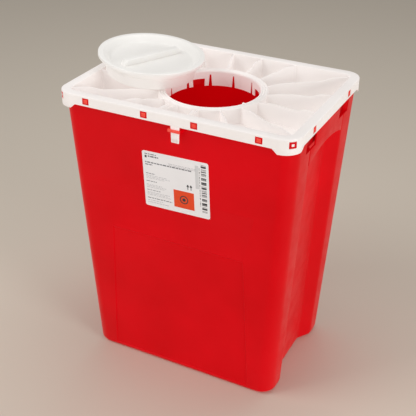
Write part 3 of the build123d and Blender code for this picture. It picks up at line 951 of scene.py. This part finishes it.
# %% Turn the rim outwards and down
END_MARGIN = 5 * MM
for out, down in ((1, 0), (0, LIP_DOWN)):
    made = bmesh.ops.extrude_edge_only(bin_bm, edges=ring)["geom"]
    ring = [g for g in made if isinstance(g, bmesh.types.BMEdge)]
    for vert in verts_of(made):
        far = abs(vert.co.y) > RECESS_END + END_MARGIN
        vert.co += Vector((
            LIP_OUT[0] * out * (1 if vert.co.x > 0 else -1),
            LIP_OUT[1] * out * (1 if vert.co.y > 0 else -1) * far,
            -down,
        ))
bmesh.ops.remove_doubles(bin_bm, verts=bin_bm.verts, dist=MERGE)
bmesh.ops.dissolve_degenerate(bin_bm, edges=bin_bm.edges, dist=MERGE)
bmesh.ops.recalc_face_normals(bin_bm, faces=bin_bm.faces)
base_face = min(bin_bm.faces, key=lambda f: f.calc_center_median().z)
if base_face.normal.z > 0:
    bmesh.ops.reverse_faces(bin_bm, faces=bin_bm.faces)
print("rim turned")

# %% [markdown]
# The lower panel is marked on the front and back walls by three cuts: one along its top and
# one down each side. The face between them is inset, and the inset face is pressed in by a
# millimetre and a half. Two more cuts mark the faint creases that climb from its upper corners,
# and the face between those is pressed in a third as far.

# %% Press the lower panels
PANEL_SIDE_LOW, PANEL_SIDE_HIGH = 143 * MM, 130 * MM
PANEL_FOOT = BASE_ROUND
PANEL_EDGE = 2.5 * MM
PANEL_PRESS = 1.5 * MM
CREASE_OUT = 150 * MM
CREASE_PRESS = PANEL_PRESS / 3
FACES_FRONT = 0.98


def wall_faces(bm, low, high):
    """Faces of the front and back walls between two heights."""
    found = []
    for face in bm.faces:
        middle = face.calc_center_median()
        if low < middle.z < high and abs(face.normal.y) > FACES_FRONT and abs(middle.x) < CREASE_OUT:
            found.append(face)
    return found


def cut_line(bm, faces, start, end):
    """Cut through faces by the upright plane that holds a line from (x, z) to (x, z)."""
    geom = list({g for f in faces for g in (f, *f.edges, *f.verts)})
    normal = Vector((end[1] - start[1], 0, start[0] - end[0]))
    bmesh.ops.bisect_plane(bm, geom=geom, dist=MERGE, plane_co=(start[0], 0, start[1]), plane_no=normal)


for side in (-1, 1):
    foot, corner = (side * PANEL_SIDE_LOW, 0), (side * PANEL_SIDE_HIGH, PANEL_TOP)
    cut_line(bin_bm, wall_faces(bin_bm, PANEL_FOOT, PANEL_TOP), foot, corner)
    cut_line(bin_bm, wall_faces(bin_bm, PANEL_TOP, CREASE_TOP), corner, (side * CREASE_OUT, CREASE_TOP))
panels = [f for f in wall_faces(bin_bm, PANEL_FOOT, PANEL_TOP) if abs(f.calc_center_median().x) < MM]
uppers = [f for f in wall_faces(bin_bm, PANEL_TOP, CREASE_TOP) if abs(f.calc_center_median().x) < MM]
for face in panels:
    bmesh.ops.inset_individual(bin_bm, faces=[face], thickness=PANEL_EDGE, depth=-PANEL_PRESS)
for face in uppers:
    bmesh.ops.inset_individual(bin_bm, faces=[face], thickness=PANEL_EDGE, depth=-CREASE_PRESS)
print("panels", len(panels), len(uppers))

# %% Give the bin its thickness and soft edges
BIN_EDGE, BIN_EDGE_OVER = 1.2 * MM, radians(35)
bin_piece = finish_piece(bin_bm, "bin_wall", "red_bin", "container_body")
# The walls at the back of the handle pockets take a red with almost no glow: the tray wall behind lets no
# light through, and the darker recess is also painted shade.
bin_piece.data.materials.append(recess_shade_red)
for polygon in bin_piece.data.polygons:
    middle = polygon.center
    behind = abs(abs(middle.x) - RECESS_WALL) < MM and abs(middle.y) < RECESS_END
    polygon.material_index = 1 if behind and RECESS_LOW < middle.z < RECESS_HIGH else 0
print("recess walls", sum(p.material_index for p in bin_piece.data.polygons))
thicken_sheet(bin_piece, BIN_WALL, BIN_EDGE, BIN_EDGE_OVER)

# %% [markdown]
# ## The handles
# A handle is the plate that bridges the top of a trough. Its lower edge is an arch, and it
# steps in at the two pockets. The outline is drawn flat, extruded, its edges are rounded, and
# it leans with the wall.

# %% Shape the handles
HANDLE_THICK = 3 * MM
HANDLE_EDGE = 0.9 * MM
ARCH = 14 * MM
ARCH_STEPS = 12
POCKET_START = 56 * MM
HANDLE_END = 78.6 * MM
LEAN = SIDE_TAPER / BIN_TOP
arch_points = []
for step in range(ARCH_STEPS + 1):
    share = 2 * step / ARCH_STEPS - 1
    arch_points.append((share * HANDLE_END, handle_low.z + ARCH * (1 - share**2)))
plate_points = arch_points + [
    (HANDLE_END, RECESS_LOW), (POCKET_START, RECESS_LOW), (POCKET_START, handle_high.z),
    (-POCKET_START, handle_high.z), (-POCKET_START, RECESS_LOW), (-HANDLE_END, RECESS_LOW),
]
for side, node in ((1, "handle_right"), (-1, "handle_left")):
    plate_bm = bmesh.new()
    outline(plate_bm, [(0, y, z) for y, z in plate_points])
    made = bmesh.ops.extrude_face_region(plate_bm, geom=plate_bm.faces[:])["geom"]
    bmesh.ops.translate(plate_bm, vec=(-HANDLE_THICK, 0, 0), verts=verts_of(made))
    bmesh.ops.recalc_face_normals(plate_bm, faces=plate_bm.faces)
    round_edges(plate_bm, sharp_edges(plate_bm), HANDLE_EDGE, 3)
    for vert in plate_bm.verts:
        vert.co.x = side * (vert.co.x + BIN_BASE[0] + LEAN * vert.co.z)
    tidy(plate_bm)
    finish_piece(plate_bm, node + "_plate", "red_bin", node)

# %% [markdown]
# ## The latch
# A red loop on the bin holds a white tongue of the lid. Both are plain moulded strips with
# rounded edges; the tongue narrows a little and carries a raised bead at its tip, which is
# what a thumb pulls on. The loop's bar carries a painted highlight, a paler red with a
# stronger glow, as far as the tongue reaches.

# %% Make the loop and the tongue
loop_low, loop_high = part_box("latch_loop")
tongue_low, tongue_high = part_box("latch_tongue")
LOOP_THICK = 3 * MM
TONGUE_TIP = 7 * MM
LOOP_EDGE, LEG_EDGE, TONGUE_EDGE = 0.9 * MM, 0.6 * MM, 0.4 * MM
BEAD, BEAD_DEPTH, BEAD_LIFT, BEAD_EDGE = 7 * MM, 1.2 * MM, 0.6 * MM, 0.5 * MM
BEAD_HALF = TONGUE_TIP - MM
HIGHLIGHT_PAST = 2 * MM
loop_middle = (loop_low + loop_high) / 2
loop_bm = bmesh.new()
bar_size = (loop_high.x - loop_low.x, LOOP_THICK, loop_high.z - loop_low.z)
add_block(loop_bm, bar_size, (loop_middle.x, loop_low.y + LOOP_THICK / 2, loop_middle.z), 0, LOOP_EDGE)
leg_size = (LOOP_THICK, loop_high.y - loop_low.y - MM, bar_size[2])
for leg_x in (loop_low.x + LOOP_THICK / 2, loop_high.x - LOOP_THICK / 2):
    add_block(loop_bm, leg_size, (leg_x, loop_middle.y + MM / 4, loop_middle.z), 0, LEG_EDGE)
# Painted highlight: the loop takes the paler red up to just past the tongue's right edge, plain red beyond.
bar_piece = finish_piece(loop_bm, "latch_bar", "red_bin", "latch_loop", finish=painted_highlight_red)
bar_piece.data.materials.append(red_plastic)
for polygon in bar_piece.data.polygons:
    polygon.material_index = 1 if polygon.center.x > tongue_high.x + HIGHLIGHT_PAST else 0
tongue_bm = bmesh.new()
tongue_size = tongue_high - tongue_low
tongue_middle = (tongue_low + tongue_high) / 2
add_block(tongue_bm, tongue_size, tongue_middle, 0, TONGUE_EDGE)
for vert in tongue_bm.verts:
    narrow = (tongue_high.z - vert.co.z) / tongue_size.z * MM
    vert.co.x -= narrow * (1 if vert.co.x > tongue_middle.x else -1)
bead_z = tongue_low.z + BEAD / 2 + BEAD_LIFT
bead_place = Vector((tongue_middle.x, tongue_low.y + BEAD_DEPTH / 2, bead_z))
add_block(tongue_bm, (2 * BEAD_HALF, BEAD_DEPTH, BEAD), bead_place, 0, BEAD_EDGE)
finish_piece(tongue_bm, "latch_strip", "white_lid", "latch_tongue")

# %% [markdown]
# ## The label
# The label is a rectangle of film with rounded corners, stuck on slightly crooked. Its print
# is made of thin raised strips: rows of short bars that stand for words, a column of bars in
# uneven widths with a pale tint and a row of ticks beside it, a small dark block, an orange
# panel with a plain ring mark, and two small arrows. No letters are drawn. One matrix lays
# everything on the leaning wall.

# %% Lay out the label
LABEL_SIZE = (125 * MM, 107 * MM)
LABEL_CORNER, LABEL_CORNER_STEPS = 4 * MM, 6
LABEL_THICK = 0.4 * MM
LABEL_X = 4.5 * MM
LABEL_Z = LID_TOP - 133 * MM
LABEL_TURN = radians(1.5)
INK_THICK = 0.05 * MM
label_y = -(BIN_BASE[1] + FRONT_TAPER * LABEL_Z / BIN_TOP)
label_lean = atan(FRONT_TAPER / BIN_TOP)
label_matrix = (
    Matrix.Translation((LABEL_X, label_y, LABEL_Z))
    @ Matrix.Rotation(pi / 2 + label_lean, 4, "X")
    @ Matrix.Rotation(LABEL_TURN, 4, "Z")
)


def thicken(bm, faces, height):
    """Gives flat faces a thickness, upwards."""
    made = bmesh.ops.extrude_face_region(bm, geom=faces)["geom"]
    bmesh.ops.translate(bm, vec=(0, 0, height), verts=verts_of(made))


def strip(bm, left, top, width, height):
    """Thin raised rectangle on the label, from its upper left corner."""
    x, y = left - LABEL_SIZE[0] / 2, LABEL_SIZE[1] / 2 - top
    corners = ((x, y - height), (x + width, y - height), (x + width, y), (x, y))
    face = bm.faces.new([bm.verts.new((px, py, LABEL_THICK)) for px, py in corners])
    thicken(bm, [face], INK_THICK)


def place_print(bm, name, material):
    """Print of one colour, laid on the label."""
    bmesh.ops.recalc_face_normals(bm, faces=bm.faces)
    bm.transform(label_matrix)
    finish_piece(bm, name, "label_paper", finish=material)


label_bm = bmesh.new()
half_x, half_y = LABEL_SIZE[0] / 2, LABEL_SIZE[1] / 2
label_points = [(-half_x, -half_y, 0), (half_x, -half_y, 0), (half_x, half_y, 0), (-half_x, half_y, 0)]
outline(label_bm, label_points, [(n, LABEL_CORNER, LABEL_CORNER_STEPS) for n in range(4)])
thicken(label_bm, label_bm.faces[:], LABEL_THICK)
tidy(label_bm)
label_bm.transform(label_matrix)
finish_piece(label_bm, "label_sheet", "label_paper", "front_label")

# %% Mix the inks
GREY_INK = (0.14, 0.14, 0.16, 1)
PALE_INK = (0.42, 0.42, 0.44, 1)
DARK_INK = (0.03, 0.03, 0.035, 1)
MIST_INK = (0.60, 0.60, 0.61, 1)
ORANGE_INK = (0.80, 0.055, 0.002, 1)
NO_LIGHT = (0, 0, 0, 1)
INK_FADE, INK_LIFT = 1.2, 0.004
INK_ROUGH = (0.4, 0.5)
INK_GRAIN, INK_WAVE = 0.00005, 0.0001


def ink(name, colour):
    """Print ink with slightly uneven coverage."""
    faded = (*(min(1, c * INK_FADE + INK_LIFT) for c in colour[:3]), 1)
    return moulded(name, colour, faded, NO_LIGHT, INK_ROUGH, grain=INK_GRAIN, wave=INK_WAVE)


grey_ink, pale_ink = ink("grey_ink", GREY_INK), ink("pale_ink", PALE_INK)
dark_ink, orange_ink = ink("dark_ink", DARK_INK), ink("orange_ink", ORANGE_INK)
mist_ink = ink("mist_ink", MIST_INK)

# %% Print the rows of words
WORD_LENGTHS = (5.5, 3.2, 7.0, 4.1, 2.6, 6.2, 4.8, 3.6)
GAP = 1.3 * MM
# left, top, length and height in millimetres, and the ink
ROWS = [
    (5, 4.5, 22, 1.6, "grey"), (11, 8.2, 20, 2.6, "grey"),
    (50, 15.5, 52, 0.9, "pale"), (50, 18.0, 52, 0.9, "pale"),
    (5, 20.0, 88, 2.2, "grey"), (5, 24.5, 14, 1.8, "grey"), (5, 42.0, 18, 1.2, "grey"),
    (5, 46.0, 40, 0.8, "pale"), (5, 48.6, 46, 0.8, "pale"), (5, 51.2, 36, 0.8, "pale"),
    (5, 57.0, 20, 1.2, "grey"), (5, 64.0, 30, 0.8, "pale"), (5, 66.6, 38, 0.8, "pale"),
    (5, 69.2, 34, 0.8, "pale"), (5, 74.5, 26, 1.0, "grey"), (5, 79.0, 44, 0.8, "pale"),
    (5, 81.6, 40, 0.8, "pale"), (5, 84.2, 46, 0.8, "pale"),
    (5, 90.0, 48, 1.4, "grey"), (5, 95.0, 30, 0.9, "pale"), (5, 99.0, 42, 0.9, "pale"),
]
prints = {"grey": bmesh.new(), "pale": bmesh.new()}
for row, (left, top, length, height, shade) in enumerate(ROWS):
    reach_x, number = left * MM, row
    while reach_x < (left + length) * MM:
        word = WORD_LENGTHS[number % len(WORD_LENGTHS)] * MM
        word = min(word, (left + length) * MM - reach_x)
        strip(prints[shade], reach_x, top * MM, word, height * MM)
        reach_x += word + GAP
        number += 1
place_print(prints["grey"], "label_words", grey_ink)
place_print(prints["pale"], "label_small_words", pale_ink)

# %% Print the bars, the panel and the marks
BAR_LEFT, BAR_TOP, BAR_WIDTH, BAR_PITCH, BAR_COUNT = 111 * MM, 5 * MM, 9.5 * MM, 2 * MM, 46
BAR_THICKS, BAR_STRIDE, BAR_SKIP = (0.7, 1.4, 1.9, 0.9, 1.6), 7, 4
# from here to the tint, left, top, width and height are in millimetres
TICKS, TICK_LEFT, TICK_TOP, TICK_PITCH, TICK_WIDTH, TICK_SHARE = 24, 107.5, 12, 3.1, 1.1, 0.36
DARK_BLOCK = (5, 8.2, 3.6, 4.6)
ARROW_LEFTS = (83, 89)
ARROW_STRIPS = ((1.4, 50, 1.3, 8), (0, 50.4, 4.1, 2.4), (0.9, 48.6, 2.3, 1.8))
TINT_STRIP = (100, 8, 6.5, 44)
PANEL_BOX = (57 * MM, 63 * MM, 39 * MM, 34 * MM)
RING_RADIUS, RING_WIDTH, RING_STEPS = 8 * MM, 1.8 * MM, 40
DOT_RADIUS, DOT_HOLE = RING_RADIUS * 0.4, 0.02 * MM
bars_bm = bmesh.new()
for number in range(BAR_COUNT):
    thick = BAR_THICKS[(number * BAR_STRIDE) % len(BAR_THICKS)] * MM
    if number % BAR_SKIP != BAR_SKIP - 1:
        strip(bars_bm, BAR_LEFT, BAR_TOP + number * BAR_PITCH, BAR_WIDTH, thick)
for number in range(TICKS):
    tick_height = WORD_LENGTHS[number % len(WORD_LENGTHS)] * TICK_SHARE * MM
    strip(bars_bm, TICK_LEFT * MM, (TICK_TOP + number * TICK_PITCH) * MM, TICK_WIDTH * MM, tick_height)
strip(bars_bm, *(value * MM for value in DARK_BLOCK))
for arrow_left in ARROW_LEFTS:
    for right, top, width, height in ARROW_STRIPS:
        strip(bars_bm, (arrow_left + right) * MM, top * MM, width * MM, height * MM)
place_print(bars_bm, "label_bars", dark_ink)
mist_bm = bmesh.new()
strip(mist_bm, *(value * MM for value in TINT_STRIP))
place_print(mist_bm, "label_tint", mist_ink)
panel_bm = bmesh.new()
strip(panel_bm, *PANEL_BOX)
place_print(panel_bm, "label_panel", orange_ink)
ring_bm = bmesh.new()
ring_x = PANEL_BOX[0] + PANEL_BOX[2] / 2 - half_x
ring_y = half_y - PANEL_BOX[1] - PANEL_BOX[3] / 2
ring_place = Vector((ring_x, ring_y, LABEL_THICK + INK_THICK))
for radius, width in ((RING_RADIUS, RING_WIDTH), (DOT_RADIUS, DOT_RADIUS - DOT_HOLE)):
    disc = bmesh.ops.create_circle(ring_bm, segments=RING_STEPS, radius=radius, cap_ends=True)["verts"]
    bmesh.ops.translate(ring_bm, vec=ring_place, verts=disc)
    face = disc[0].link_faces[0]
    bmesh.ops.inset_individual(ring_bm, faces=[face], thickness=width, depth=0)
    bmesh.ops.delete(ring_bm, geom=[face], context="FACES_ONLY")
thicken(ring_bm, ring_bm.faces[:], INK_THICK)
place_print(ring_bm, "label_mark", dark_ink)
